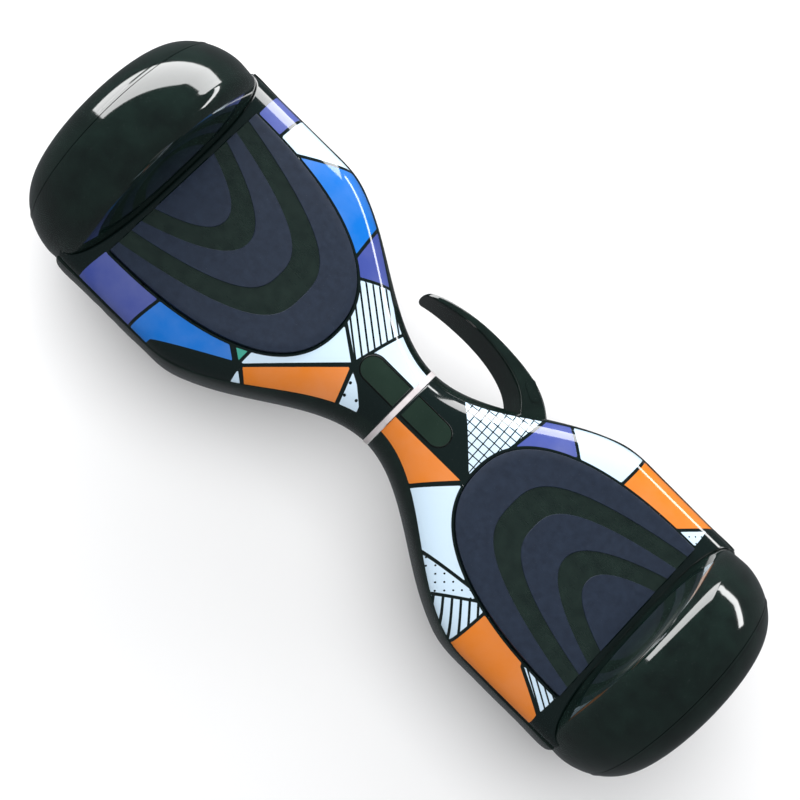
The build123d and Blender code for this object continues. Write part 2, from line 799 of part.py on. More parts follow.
def wheel_bearings():
    near = wheel_x - rim_half - cover_thickness
    return [about_axle(near, near + bearing_width, bearing_radius, axle_radius + run_gap),
            about_axle(bearing_out - bearing_width, bearing_out, bearing_radius, axle_radius + run_gap)]


def motor_cover(outer_side):
    """Cover plate screwed to the rim, with a seat for its bearing."""
    near = wheel_x - rim_half - cover_thickness
    plate = about_axle(near, near + cover_thickness, rim_radius + 1.5, bearing_radius)
    plate += about_axle(near, near + bearing_width + 0.5, bearing_radius + 3.5, bearing_radius)
    for k in range(6):
        plate -= axle_rod(near - 1, near + 10, 1.25, 60 * k, screw_circle)
        plate -= axle_rod(near - 1, near + 1.2, 2.4, 60 * k, screw_circle)
    return mirror(plate, about=Plane.YZ.offset(wheel_x)) if outer_side else plate


def cover_ring_screws():
    screws = []
    near = wheel_x - rim_half - cover_thickness
    for k in range(6):
        screw = axle_rod(near + 1.2, near + 10, 1.25, 60 * k, screw_circle)
        screw += axle_rod(near, near + 1.2, 2.3, 60 * k, screw_circle)
        screws += [screw, mirror(screw, about=Plane.YZ.offset(wheel_x))]
    return screws


def hub_cap():
    """Domed cap over the axle end, with six windows."""
    x0 = bearing_out
    outer = [(x0, 50.0), (x0 + 7, 48.0), (x0 + 15, 38.0), (x0 + 20.5, 22.0), (hub_reach, 8.0)]
    inner = [(hub_reach - 2.2, 8.0), (x0 + 18.3, 21.0), (x0 + 13.4, 36.0), (x0 + 6, 45.6), (x0, 47.5)]
    place = lambda p: (p[0], 0, tyre_radius + p[1])
    end_out, end_in = (hub_reach, 0, tyre_radius), (hub_reach - 2.2, 0, tyre_radius)
    outline = [Spline(*map(place, outer)), Line(place(outer[-1]), end_out), Line(end_out, end_in),
               Line(end_in, place(inner[0])), Spline(*map(place, inner)), Line(place(inner[-1]), place(outer[0]))]
    cap = revolve(make_face(Wire(outline)), axis=Axis((0, 0, tyre_radius), (1, 0, 0)))
    for k in range(6):
        cap -= axle_rod(x0 + 2, x0 + 40, 5.0, 60 * k + 30, 33.0)
    return cap


# ---------------------------------------------------------------- output

def write(name, shape):
    """One STEP file for a node, one solid or a group of separate solids."""
    solids = []
    for item in shape if isinstance(shape, (list, ShapeList)) else [shape]:
        solids += item.solids()
    node = solids[0] if len(solids) == 1 else Compound(children=solids)
    export_step(node, f"parts/{name}.step")


def write_pair(name, make):
    """A piece found in both halves, mirrored for the left one."""
    shape = make()
    for side in (left, right):
        group = shape if isinstance(shape, list) else [shape]
        write(f"{side_name[side]}_{name}", [mirrored(item, side) for item in group])


os.makedirs("parts", exist_ok=True)

for side in (left, right):
    write(f"{side_name[side]}_lower_shell", mirrored(lower_shell(side), side))
    write(f"{side_name[side]}_chassis", mirrored(chassis(side), side))

pairs = {"top_cover": top_cover, "fender": fender, "fender_trim": fender_trim, "foot_pad": foot_pad,
         "status_window": status_window, "headlamp_lens": lamp_lens, "shell_screws": shell_screws,
         "axle": axle, "axle_clamp": axle_clamp, "sensor_board": sensor_board, "tyre": tyre, "rim": rim,
         "magnet_ring": magnet_ring, "stator": stator, "windings": windings, "wheel_bearings": wheel_bearings,
         "inner_motor_cover": lambda: motor_cover(False), "outer_motor_cover": lambda: motor_cover(True),
         "motor_cover_screws": cover_ring_screws, "hub_cap": hub_cap}
for name, make in pairs.items():
    write_pair(name, make)

write("pivot_tube", pivot_tube())
write("pivot_pins", pivot_pins())
write("pivot_bushes", pivot_bushes())
write("pivot_retaining_ring", retaining_ring())
write("pivot_trim_ring", pivot_ring())
write("battery_pack", battery_pack())
write("battery_bracket", battery_bracket())
write("main_board", main_board())
write("wiring_loom", wiring_loom())
write("button_bezel", mirrored(button_bezel(), left))
write("power_button", mirrored(power_button(), left))
write("charge_port", mirrored(charge_port(), left))
write("charge_port_cap", mirrored(port_cap(), left))
write("carry_handle", carry_handle())
write("handle_cover", handle_cover_prism())
write("handle_bolts", handle_bolts())
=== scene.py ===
import bpy
import numpy as np
from mathutils import Matrix, Vector


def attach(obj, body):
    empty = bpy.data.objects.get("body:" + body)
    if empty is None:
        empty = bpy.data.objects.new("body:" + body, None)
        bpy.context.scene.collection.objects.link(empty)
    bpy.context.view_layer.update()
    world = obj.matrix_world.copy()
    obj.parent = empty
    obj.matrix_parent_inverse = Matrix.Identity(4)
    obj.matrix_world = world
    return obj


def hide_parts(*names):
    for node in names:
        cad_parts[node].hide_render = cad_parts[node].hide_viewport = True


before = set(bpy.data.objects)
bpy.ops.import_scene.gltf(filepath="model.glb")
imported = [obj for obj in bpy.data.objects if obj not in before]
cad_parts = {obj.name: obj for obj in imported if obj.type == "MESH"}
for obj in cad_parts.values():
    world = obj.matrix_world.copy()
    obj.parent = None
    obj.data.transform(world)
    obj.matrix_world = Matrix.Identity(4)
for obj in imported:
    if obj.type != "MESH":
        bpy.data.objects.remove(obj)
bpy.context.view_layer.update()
print("frame loaded:", len(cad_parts), "nodes")

mm = 0.001
sides = {"left": -1, "right": 1}


# A grid of points (rows, columns, 3) in millimetres becomes quads between neighbouring rows and columns.
def gridFaces(rowCount, columnCount, closed=False):
    wrap = columnCount if closed else columnCount - 1
    row, column = np.meshgrid(np.arange(rowCount - 1), np.arange(wrap), indexing="ij")
    here = row * columnCount + column
    beside = row * columnCount + (column + 1) % columnCount
    return np.stack([here, beside, beside + columnCount, here + columnCount], -1).reshape(-1, 4)


def meshPiece(name, points, faces, material, smoothAngle=35, flip=False):
    faces = [face[::-1] if flip else face for face in np.asarray(faces).tolist()]
    mesh = bpy.data.meshes.new(name)
    mesh.from_pydata((np.asarray(points, float).reshape(-1, 3) * mm).tolist(), [], faces)
    mesh.update()
    mesh.polygons.foreach_set("use_smooth", np.ones(len(mesh.polygons), bool))
    mesh.set_sharp_from_angle(angle=np.radians(smoothAngle))
    piece = bpy.data.objects.new(name, mesh)
    bpy.context.scene.collection.objects.link(piece)
    mesh.materials.append(material)
    return piece


def addAttribute(piece, name, values, kind="FLOAT"):
    values = np.asarray(values, np.float32)
    attribute = piece.data.attributes.new(name, kind, "POINT")
    field = {"FLOAT": "value", "FLOAT_VECTOR": "vector", "FLOAT_COLOR": "color"}[kind]
    attribute.data.foreach_set(field, values.ravel())


def smoothStep(t):
    t = np.clip(t, 0, 1)
    return t * t * (3 - 2 * t)


class Nodes:
    # Short names for making and linking shader nodes in one material.
    def __init__(self, name):
        self.material = bpy.data.materials.new(name)
        self.material.use_nodes = True
        self.tree = self.material.node_tree
        self.shader = self.tree.nodes["Principled BSDF"]
        self.place = self.add("ShaderNodeTexCoord").outputs["Object"]

    def add(self, kind, **settings):
        node = self.tree.nodes.new(kind)
        for key, value in settings.items():
            setattr(node, key, value)
        return node

    def link(self, source, target):
        self.tree.links.new(source, target)

    def feed(self, socket, value):
        if isinstance(value, bpy.types.NodeSocket):
            self.link(value, socket)
        else:
            socket.default_value = value

    def math(self, operation, first, second=0.0, third=0.0):
        node = self.add("ShaderNodeMath", operation=operation)
        for socket, value in zip(node.inputs, (first, second, third)):
            self.feed(socket, value)
        return node.outputs[0]

    def noise(self, scale, detail=4.0, roughness=0.55, stretch=None):
        node = self.add("ShaderNodeTexNoise")
        node.inputs["Scale"].default_value = scale
        node.inputs["Detail"].default_value = detail
        node.inputs["Roughness"].default_value = roughness
        place = self.place
        if stretch:
            mapping = self.add("ShaderNodeMapping")
            mapping.inputs["Scale"].default_value = stretch
            self.link(self.place, mapping.inputs["Vector"])
            place = mapping.outputs[0]
        self.link(place, node.inputs["Vector"])
        return node.outputs["Fac"]

    def spread(self, value, fromLow, fromHigh, toLow, toHigh):
        node = self.add("ShaderNodeMapRange")
        for socket, part in zip(node.inputs, (value, fromLow, fromHigh, toLow, toHigh)):
            self.feed(socket, part)
        return node.outputs[0]

    def mix(self, share, first, second):
        node = self.add("ShaderNodeMix", data_type="RGBA")
        self.feed(node.inputs["Factor"], share)
        for socket, value in ((node.inputs[6], first), (node.inputs[7], second)):
            self.feed(socket, (*value, 1) if isinstance(value, tuple) else value)
        return node.outputs[2]

    def bump(self, height, strength, distance):
        node = self.add("ShaderNodeBump")
        node.inputs["Strength"].default_value = strength
        node.inputs["Distance"].default_value = distance
        self.link(height, node.inputs["Height"])
        return node.outputs[0]

    def set(self, **values):
        for key, value in values.items():
            socket = self.shader.inputs[key.replace("_", " ")]
            self.feed(socket, (*value, 1) if isinstance(value, tuple) and len(value) == 3 else value)
        return self.material


# Each finish: two colours mixed by a fine noise, a roughness range mixed by a broad noise, and a grain.
# Scales are cycles per metre, depths are metres.
finishes = {
    # shell_gloss: the green tint of both colours is painted reflection of green surroundings in the black
    # gloss.
    "shell_gloss": dict(dark=(.0035, .0075, .0065), light=(.007, .016, .013), scale=60, rough=(.05, .13),
                        wear=9, grain=900, depth=.00001, coat=1.0, metal=0),
    # smoked_window: dark smoke, with a green tint that is painted reflection of green surroundings in the
    # gloss.
    "smoked_window": dict(dark=(.009, .021, .0145), light=(.014, .03, .021), scale=40, rough=(.06, .16),
                          wear=14, grain=1200, depth=.000008, coat=1.0, metal=0),
    "steel": dict(dark=(.42, .42, .43), light=(.62, .62, .63), scale=260, rough=(.22, .42), wear=60,
                  grain=2600, depth=.00004, coat=0, metal=1),
    "cast_alloy": dict(dark=(.33, .34, .35), light=(.5, .51, .52), scale=420, rough=(.38, .58), wear=40,
                       grain=900, depth=.00012, coat=0, metal=1),
    "laminated_steel": dict(dark=(.2, .2, .21), light=(.42, .42, .43), scale=300, rough=(.35, .5), wear=70,
                            grain=1500, depth=.00006, coat=0, metal=1),
    "copper_wire": dict(dark=(.45, .13, .04), light=(.8, .3, .12), scale=350, rough=(.22, .38), wear=80,
                        grain=1800, depth=.00008, coat=.3, metal=1),
    "tyre": dict(dark=(.012, .012, .013), light=(.026, .026, .027), scale=170, rough=(.62, .86), wear=22,
                 grain=1500, depth=.00014, coat=0, metal=0),
    # chrome: a pale pinkish colour shown mostly as diffuse colour at metal .35, a painted reflection of
    # bright surroundings.
    "chrome": dict(dark=(.68, .62, .63), light=(.88, .82, .83), scale=90, rough=(.3, .45), wear=50,
                   grain=2200, depth=.00001, coat=0, metal=.35),
    "circuit_green": dict(dark=(.008, .06, .03), light=(.02, .13, .06), scale=380, rough=(.25, .45), wear=120,
                          grain=1400, depth=.00006, coat=.5, metal=0),
    "battery_wrap": dict(dark=(.01, .045, .19), light=(.02, .08, .3), scale=35, rough=(.28, .45), wear=60,
                         grain=260, depth=.0002, coat=.3, metal=0),
    "cable_black": dict(dark=(.012, .012, .013), light=(.03, .03, .032), scale=240, rough=(.4, .6), wear=90,
                        grain=1900, depth=.00008, coat=0, metal=0),
    "bush_nylon": dict(dark=(.66, .64, .58), light=(.8, .78, .72), scale=140, rough=(.4, .55), wear=50,
                       grain=1100, depth=.00006, coat=0, metal=0),
    "moulded_black": dict(dark=(.01, .011, .012), light=(.022, .024, .026), scale=320, rough=(.42, .62),
                          wear=30, grain=1700, depth=.00012, coat=0, metal=0),
    "cap_rubber": dict(dark=(.014, .014, .015), light=(.03, .03, .032), scale=280, rough=(.6, .8), wear=30,
                       grain=1500, depth=.00012, coat=0, metal=0),
    "pad_rubber": dict(dark=(.0088, .0148, .029), light=(.0128, .0215, .041), scale=240, rough=(.42, .58),
                       wear=11, grain=2400, depth=.00007, coat=0, metal=0),
    "lamp_clear": dict(dark=(.72, .76, .8), light=(.85, .88, .9), scale=120, rough=(.05, .14), wear=30,
                       grain=700, depth=.00004, coat=1.0, metal=0),
}
# Dust: specks where a very fine noise is above share, laid on by so much of the colour.
dust = dict(scale=2100, share=.79, colour=(.55, .56, .6), onFinish=.22, onPrint=.15)


def coating(nodes, base, finish):
    # Roughness follows a broad noise of handling marks, and the grain is a fine noise used as a height.
    marks = nodes.noise(finish["wear"], 6)
    scuffs = nodes.noise(finish["wear"] * 7, 8, .7, stretch=(1, 5, 1))
    patchy = nodes.math("MULTIPLY_ADD", scuffs, .45, nodes.math("MULTIPLY", marks, .6))
    rough = nodes.spread(patchy, .3, .75, *finish["rough"])
    height = nodes.noise(finish["grain"], 3)
    return nodes.set(Base_Color=base, Roughness=rough, Metallic=finish["metal"], Coat_Weight=finish["coat"],
                     Coat_Roughness=.05, Normal=nodes.bump(height, .5, finish["depth"]))


def finishMaterial(name, extra=None):
    finish = finishes[name]
    nodes = Nodes(name)
    tone = nodes.spread(nodes.noise(finish["scale"], 5), .3, .7, 0, 1)
    base = nodes.mix(tone, finish["dark"], finish["light"])
    if name in ("shell_gloss", "pad_rubber", "tyre", "smoked_window"):
        speck = nodes.math("GREATER_THAN", nodes.noise(dust["scale"], 1), dust["share"])
        base = nodes.mix(nodes.math("MULTIPLY", speck, dust["onFinish"]), base, dust["colour"])
    if extra:
        base = extra(nodes, base)
    return coating(nodes, base, finish)


# Thin darker layers across the axle, as stacked sheet steel or wound wire shows: a sine of X.
def layers(spacing, depth):
    def paint(nodes, base):
        along = nodes.add("ShaderNodeSeparateXYZ")
        nodes.link(nodes.place, along.inputs[0])
        wave = nodes.math("SINE", nodes.math("MULTIPLY", along.outputs[0], 2 * np.pi / spacing))
        return nodes.mix(nodes.spread(wave, -1, 1, depth, 0), base, (.01, .008, .008))
    return paint


# Copper tracks on a board: the edges of a coarse cell pattern.
def tracks(nodes, base):
    cells = nodes.add("ShaderNodeTexVoronoi", distance="CHEBYCHEV", feature="DISTANCE_TO_EDGE")
    cells.inputs["Scale"].default_value = 190
    cells.inputs["Randomness"].default_value = .65
    nodes.link(nodes.place, cells.inputs["Vector"])
    track = nodes.math("LESS_THAN", cells.outputs["Distance"], .07)
    return nodes.mix(track, base, (.05, .24, .1))


# Two rows of round cells press through the battery's shrink wrap: a sine of X times a sine of Y. Where it is
# high the wrap is painted lighter blue, a painted highlight on the cell bulges.
def cellSwellHighlight(nodes, base):
    part = nodes.add("ShaderNodeSeparateXYZ")
    nodes.link(nodes.place, part.inputs[0])
    acrossX = nodes.math("SINE", nodes.math("MULTIPLY", part.outputs[0], 2 * np.pi / .037))
    acrossY = nodes.math("SINE", nodes.math("MULTIPLY", part.outputs[1], 2 * np.pi / .037))
    swell = nodes.math("MULTIPLY", acrossX, acrossY)
    return nodes.mix(nodes.spread(swell, -.4, 1, 0, .5), base, (.06, .16, .5))


extras = {"laminated_steel": layers(.0011, .75), "copper_wire": layers(.0009, .6), "circuit_green": tracks,
          "battery_wrap": cellSwellHighlight}
materials = {name: finishMaterial(name, extras.get(name)) for name in finishes}
print("finishes made:", len(materials))

# Each kept CAD node gets the finish that its slot is named for.
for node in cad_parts.values():
    slot = node.material_slots[0].material.name.split(".")[0]
    if slot in materials:
        node.data.materials[0] = materials[slot]


# Shape of a half shell, all lengths in millimetres.
axleHeight = 82.5
shell = dict(halfWidth=93.0, waist=32.5, deck=117.0, pivot=86.0, shoulder=145.0, start=2.1, end=231.0,
             step=.85, seamWaist=107.0, seamWide=96.0, tuck=.4, tuckStart=216.0)
fenderFoot = dict(inner=210.0, low=30.0, rise=60.3, run=21.0, power=2.5, gap=.15)
padShape = dict(tip=66.0, end=205.5, halfWidth=67.0, power=2.35, gap=.5, line=2.6)
windowShape = dict(start=3.6, end=40.0, halfWidth=10.0, line=.7)


# Half width, middle height and squareness of the section at a distance x from the pivot.
def section(x):
    grown = smoothStep(x / shell["shoulder"])
    tuck = shell["tuck"] * smoothStep((x - shell["tuckStart"]) / (shell["end"] - shell["tuckStart"])) ** 2
    halfWidth = shell["waist"] + (shell["halfWidth"] - shell["waist"]) * grown - tuck
    return halfWidth, shell["pivot"] - 4 * grown, 2.2 + 1.6 * grown


def seamHeight(x):
    dip = smoothStep((np.clip(x, 0, None) / shell["shoulder"]) ** 1.2)
    return shell["seamWaist"] - (shell["seamWaist"] - shell["seamWide"]) * dip


# The fender's foot is a quarter superellipse in (radius, x) about the axle.
def footX(radius):
    share = np.clip((radius - fenderFoot["low"]) / fenderFoot["rise"], 0, 1)
    power = fenderFoot["power"]
    return (fenderFoot["inner"] + fenderFoot["run"] * (1 - (1 - share ** power) ** (1 / power))
            - fenderFoot["gap"])


# A closed outline's signed distance at each point, positive inside: the nearest side's distance,
# with the sign from counting the sides that a ray crosses.
def insideDistance(points, corners):
    corners = np.asarray(corners, float)
    after = np.roll(corners, -1, 0)
    along = after - corners
    offset = points[:, None, :] - corners[None]
    share = np.clip((offset * along).sum(-1) / (along ** 2).sum(-1), 0, 1)
    gap = np.linalg.norm(offset - share[..., None] * along, axis=-1).min(1)
    yHere, xHere = points[:, None, 1], points[:, None, 0]
    spans = (corners[:, 1] > yHere) != (after[:, 1] > yHere)
    rise = np.where(along[:, 1] == 0, 1e-9, along[:, 1])
    crossing = corners[:, 0] + (yHere - corners[:, 1]) / rise * along[:, 0]
    odd = (spans & (xHere < crossing)).sum(1) % 2 == 1
    return np.where(odd, gap, -gap)


# Pad outline: a superellipse that points at the pivot, cut straight across beside the fender.
def padOutline(grow=0.0, count=161):
    turn = np.linspace(-np.pi / 2, np.pi / 2, count)
    length = padShape["end"] - padShape["tip"] + grow
    width = padShape["halfWidth"] + grow
    power = 2 / padShape["power"]
    x = padShape["end"] - length * np.abs(np.cos(turn)) ** power
    y = width * np.sign(np.sin(turn)) * np.abs(np.sin(turn)) ** power
    shape = np.stack([x, y], -1)
    if grow:
        shape = np.concatenate([[[padShape["end"] + grow, -width]], shape, [[padShape["end"] + grow, width]]])
    return shape


# Window outline: straight sides and a round end.
def windowOutline(grow=0.0, count=33):
    turn = np.linspace(-np.pi / 2, np.pi / 2, count)
    radius = windowShape["halfWidth"] + grow
    x = windowShape["end"] - windowShape["halfWidth"] + radius * np.cos(turn)
    begin = windowShape["start"] - grow
    return np.concatenate([[[begin, -radius]], np.stack([x, radius * np.sin(turn)], -1), [[begin, radius]]])


# Each panel: its colour, its fill, the fill's angle and period, and its corners (x along the board, y to the
# front) in millimetres.
# Print colours. ink is the black print, and its green tint is painted reflection of green surroundings in the
# gloss.
printColours = dict(violet=(.052, .078, .32), pale=(.60, .76, .90), azure=(.005, .155, .58),
                    amber=(.72, .19, .006), teal=(.012, .34, .25), ink=(.0035, .009, .0085))
printLine = 1.15          # half width of the dark lines between panels
fills = dict(
    plain=(0, 0, 0),
    stripes=(1, 0, 0),
    dots=(0, 1, 0),
    lattice=(0, 0, 1),
)
deckPrint = {
    "left": [
        ("violet", "plain", 0, 1, [(-206.5, 55), (-206.5, 70), (-209, 99), (-184.5, 99), (-184.5, 55)]),
        ("pale", "plain", 0, 1, [(-184.5, 55), (-184.5, 99), (-122, 99), (-144, 83.5), (-174, 63)]),
        ("azure", "plain", 0, 1, [(-174, 63), (-144, 83.5), (-122, 99), (-99, 99), (-95, 73), (-90, 38),
                                  (-130, 30)]),
        ("violet", "plain", 0, 1, [(-90, 38), (-95, 73), (-99, 99), (-50, 90), (-46, 59), (-60.5, 49.5),
                                   (-86, 33)]),
        ("pale", "stripes", 51.4, 4.6, [(-86, 33), (-60.5, 49.5), (-40, 62), (-30, 45), (-33, 31),
                                        (-42, -6.5), (-70, 13)]),
        ("pale", "plain", 0, 1, [(-42, -6.5), (-33, 31), (-30, 45), (0, 40), (0, 9), (-30, 9), (-40, 0)]),
        ("pale", "plain", 0, 1, [(-95.3, -40), (-70, 13), (-42, -7.2), (-92.5, -58.6), (-95.4, -59.6)]),
        ("teal", "plain", 0, 1, [(-111, -50), (-95.3, -40), (-95.5, -60.5)]),
        ("amber", "plain", 0, 1, [(-93.5, -59.6), (-41.5, -8), (-26, -46), (-55, -72), (-81, -69)]),
        ("pale", "plain", 0, 1, [(-94.5, -60.2), (-81, -69), (-77, -76), (-91, -78)]),
        ("pale", "dots", 20, 8.5, [(-40.5, -8.5), (-27, -42), (-14, -34), (-18.5, -23), (-30, -14)]),
        ("violet", "plain", 0, 1, [(-206.5, -55), (-160.3, -55), (-160.6, -66), (-166.5, -104), (-214, -104),
                                   (-211, -84)]),
        ("azure", "plain", 0, 1, [(-160.5, -55), (-109.5, -46), (-109, -53.5), (-97.2, -61.3), (-147, -89),
                                  (-152, -104), (-166.5, -104), (-160.6, -66)]),
    ],
    "right": [
        ("amber", "plain", 0, 1, [(0, -10.8), (64.5, -10.8), (40, -37.2), (30, -52), (0, -42)]),
        ("pale", "lattice", 3, 5.4, [(66.5, -10), (31, 25.5), (18, 40), (55, 78), (77.5, 78), (75.5, 57),
                                     (69.5, 15)]),
        ("violet", "plain", 0, 1, [(69.5, 15), (75.5, 57), (77.5, 78), (84, 92), (93.5, 69), (117, 49),
                                   (90, 30)]),
        ("pale", "plain", 0, 1, [(117, 49), (93.5, 69), (84, 92), (100, 99), (143.8, 99), (141, 58),
                                 (125, 45)]),
        ("amber", "plain", 0, 1, [(141, 58), (143.8, 99), (220, 99), (205.5, 85.5), (185, 64), (180, 58)]),
        ("pale", "dots", 45, 4.6, [(184, 63), (206.5, 86.5), (206.5, 62)]),
        ("pale", "plain", 0, 1, [(40.2, -38), (65.5, -11.5), (110, -30), (121, -56.5), (71.5, -62), (60, -80),
                                 (30, -54)]),
        ("pale", "dots", 45, 5.5, [(71.5, -62), (121, -56.5), (129, -58), (94.5, -80.6), (74, -96),
                                   (58, -76)]),
        ("pale", "stripes", 42, 5.6, [(94.5, -80.6), (128.5, -58), (134, -58), (132, -88), (128, -104),
                                      (96, -104), (74, -96)]),
        ("amber", "plain", 0, 1, [(134, -57), (172, -63), (175.5, -70), (206, -84.5), (212, -104),
                                  (128, -104), (132, -88)]),
        ("pale", "stripes", 62, 3.6, [(172, -62), (206.5, -62), (206.5, -84.5), (175.5, -70)]),
    ],
}


# The nearest point of an open or closed outline to each point.
def nearestOn(points, corners):
    corners = np.asarray(corners, float)
    along = np.roll(corners, -1, 0) - corners
    offset = points[:, None, :] - corners[None]
    share = np.clip((offset * along).sum(-1) / (along ** 2).sum(-1), 0, 1)
    nearest = corners[None] + share[..., None] * along
    best = np.linalg.norm(points[:, None, :] - nearest, axis=-1).argmin(1)
    return nearest[np.arange(len(points)), best]


def coverHeight(x, y):
    halfWidth, middle, power = section(x)
    share = np.clip(np.abs(y) / (halfWidth - shell["step"]), 0, 1)
    return middle + (shell["deck"] - middle) * (1 - share ** power) ** (1 / power)


# Cover: sideTurn is the angle that sets each row's end beside the fender, seamScale turns the angle left
# before
# the seam into millimetres, and snap is how near a point must be to the opening to move onto its edge.
coverGrid = dict(rows=186, columns=172, snap=.85, thickness=2.0, sideTurn=1.42, seamScale=55, seamMargin=1.2)


# Deck cover: x runs from the pivot to the fender's foot, and y = half width * sin(angle), with z on the
# superellipse of that section. Points near an opening move onto its outline, and the faces in it are left
# out.
def coverPoints():
    share, turn = np.meshgrid(np.linspace(0, 1, coverGrid["rows"]), np.linspace(-1, 1, coverGrid["columns"]),
                              indexing="ij")
    wide = section(shell["end"])[0]
    sideY = (wide - shell["step"]) * np.sin(turn * coverGrid["sideTurn"])
    sideZ = coverHeight(shell["end"], sideY)
    end = np.minimum(footX(np.hypot(sideY, sideZ - axleHeight)), shell["end"])
    x = shell["start"] + (end - shell["start"]) * share
    halfWidth, middle, power = section(x)
    rise = (seamHeight(x) - middle) / (shell["deck"] - middle)
    widest = np.arcsin((1 - rise ** power) ** (1 / power))
    y = (halfWidth - shell["step"]) * np.sin(turn * widest)
    toSeam = (1 - np.abs(turn)) * widest * coverGrid["seamScale"]
    return x.ravel(), y.ravel(), toSeam.ravel()


def coverMesh():
    x, y, toSeam = coverPoints()
    plan = np.stack([x, y], -1)
    outline = padOutline(padShape["gap"])
    inHole = insideDistance(plan, outline)
    near = np.abs(inHole) < coverGrid["snap"]
    plan[near] = nearestOn(plan[near], outline)
    inHole[near] = 0
    quads = gridFaces(coverGrid["rows"], coverGrid["columns"])
    faces = np.concatenate([quads[:, [0, 1, 2]], quads[:, [0, 2, 3]]])
    centre = plan[faces].mean(1)
    total = inHole[faces].sum(1)
    doubtful = np.abs(total) < 1e-9
    hidden = np.where(doubtful, insideDistance(centre, outline) > 0, inHole[faces].max(1) > 1e-9)
    faces = faces[~hidden]
    corner = plan[faces]
    sideA, sideB = corner[:, 1] - corner[:, 0], corner[:, 2] - corner[:, 0]
    size = np.abs(sideA[:, 0] * sideB[:, 1] - sideA[:, 1] * sideB[:, 0])
    high = coverHeight(plan[:, 0], plan[:, 1])[faces]
    steep = np.ptp(high, axis=1)
    faces = faces[(size > 1e-4) | (steep > 1e-2)]
    used = np.unique(faces)
    renumber = np.zeros(len(plan), int)
    renumber[used] = np.arange(len(used))
    return plan[used], toSeam[used], renumber[faces]


# The print: how far each point is inside its panel, the panel's colour and fill, and the fill's two phases.
def printOn(piece, side, plan, toSeam):
    panels = deckPrint[side]
    signed = plan * [sides[side], 1]
    reach = np.stack([insideDistance(signed, panel[4]) for panel in panels], 1)
    best = reach.argmax(1)
    angle = np.radians([panel[2] for panel in panels])[best]
    period = np.array([panel[3] for panel in panels], float)[best]
    clear = np.min([
        reach.max(1) - printLine,
        -insideDistance(plan, padOutline()) - padShape["line"],
        -insideDistance(plan, windowOutline()) - windowShape["line"],
        toSeam - coverGrid["seamMargin"],
    ], axis=0)
    across = (signed[:, 0] * np.cos(angle) + signed[:, 1] * np.sin(angle)) / period
    down = (-signed[:, 0] * np.sin(angle) + signed[:, 1] * np.cos(angle)) / period
    colours = np.array([(*printColours[panel[0]], 1) for panel in panels])[best]
    addAttribute(piece, "printReach", clear)
    addAttribute(piece, "printColour", colours, "FLOAT_COLOR")
    addAttribute(piece, "printFill", np.array([fills[panel[1]] for panel in panels])[best], "FLOAT_VECTOR")
    addAttribute(piece, "printPhase", np.stack([across, down, 0 * down], -1), "FLOAT_VECTOR")


fillLines = dict(stripe=.15, lattice=.075, dot=.125)


# Printed gloss film: panels where printReach is above nought, with stripes, dots or a lattice drawn from
# the distance to the middle of each period.
def printMaterial():
    nodes = Nodes("print_gloss")
    read = {}
    for name in ("printReach", "printColour", "printFill", "printPhase"):
        read[name] = nodes.add("ShaderNodeAttribute", attribute_name=name)
    phase = nodes.add("ShaderNodeSeparateXYZ")
    fill = nodes.add("ShaderNodeSeparateXYZ")
    nodes.link(read["printPhase"].outputs["Vector"], phase.inputs[0])
    nodes.link(read["printFill"].outputs["Vector"], fill.inputs[0])
    away = [nodes.math("ABSOLUTE", nodes.math("SUBTRACT", nodes.math("FRACT", phase.outputs[i]),
                                              .5)) for i in (0, 1)]
    square = nodes.math("ADD", nodes.math("POWER", away[0], 2), nodes.math("POWER", away[1], 2))
    stripe = nodes.math("LESS_THAN", away[0], fillLines["stripe"])
    lattice = nodes.math("LESS_THAN", nodes.math("MINIMUM", away[0], away[1]), fillLines["lattice"])
    dot = nodes.math("LESS_THAN", nodes.math("SQRT", square), fillLines["dot"])
    ink = 0.0
    for i, mark in enumerate((stripe, dot, lattice)):
        ink = nodes.math("ADD", ink, nodes.math("MULTIPLY", mark, fill.outputs[i]))
    printed = nodes.spread(read["printReach"].outputs["Fac"], -.1, .1, 0, 1)
    shown = nodes.math("MULTIPLY", printed, nodes.math("SUBTRACT", 1.0, ink))
    faded = nodes.mix(nodes.spread(nodes.noise(18, 6), .35, .8, 0, .12), read["printColour"].outputs["Color"],
                      (.8, .8, .78))
    # Outside the panels and on the fill marks the cover shows ink: black print with a green tint that is
    # painted reflection.
    base = nodes.mix(shown, printColours["ink"], faded)
    speck = nodes.math("GREATER_THAN", nodes.noise(dust["scale"], 1), dust["share"])
    base = nodes.mix(nodes.math("MULTIPLY", speck, dust["onPrint"]), base, dust["colour"])
    return coating(nodes, base, finishes["shell_gloss"])


materials["print_gloss"] = printMaterial()


def solidify(piece, thickness):
    wall = piece.modifiers.new("wall", "SOLIDIFY")
    wall.thickness = thickness * mm
    wall.offset = -1
    wall.use_even_offset = False


plan, toSeam, coverFaces = coverMesh()
for side, sign in sides.items():
    high = coverHeight(plan[:, 0], plan[:, 1])
    points = np.stack([sign * plan[:, 0], plan[:, 1], high], -1)
    cover = meshPiece(f"{side}_deck_cover", points, coverFaces, materials["print_gloss"], flip=sign > 0)
    printOn(cover, side, plan, toSeam)
    solidify(cover, coverGrid["thickness"])
    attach(cover, f"{side}_half")
    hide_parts(f"{side}_top_cover")
print("deck covers printed:", len(coverFaces), "faces each")


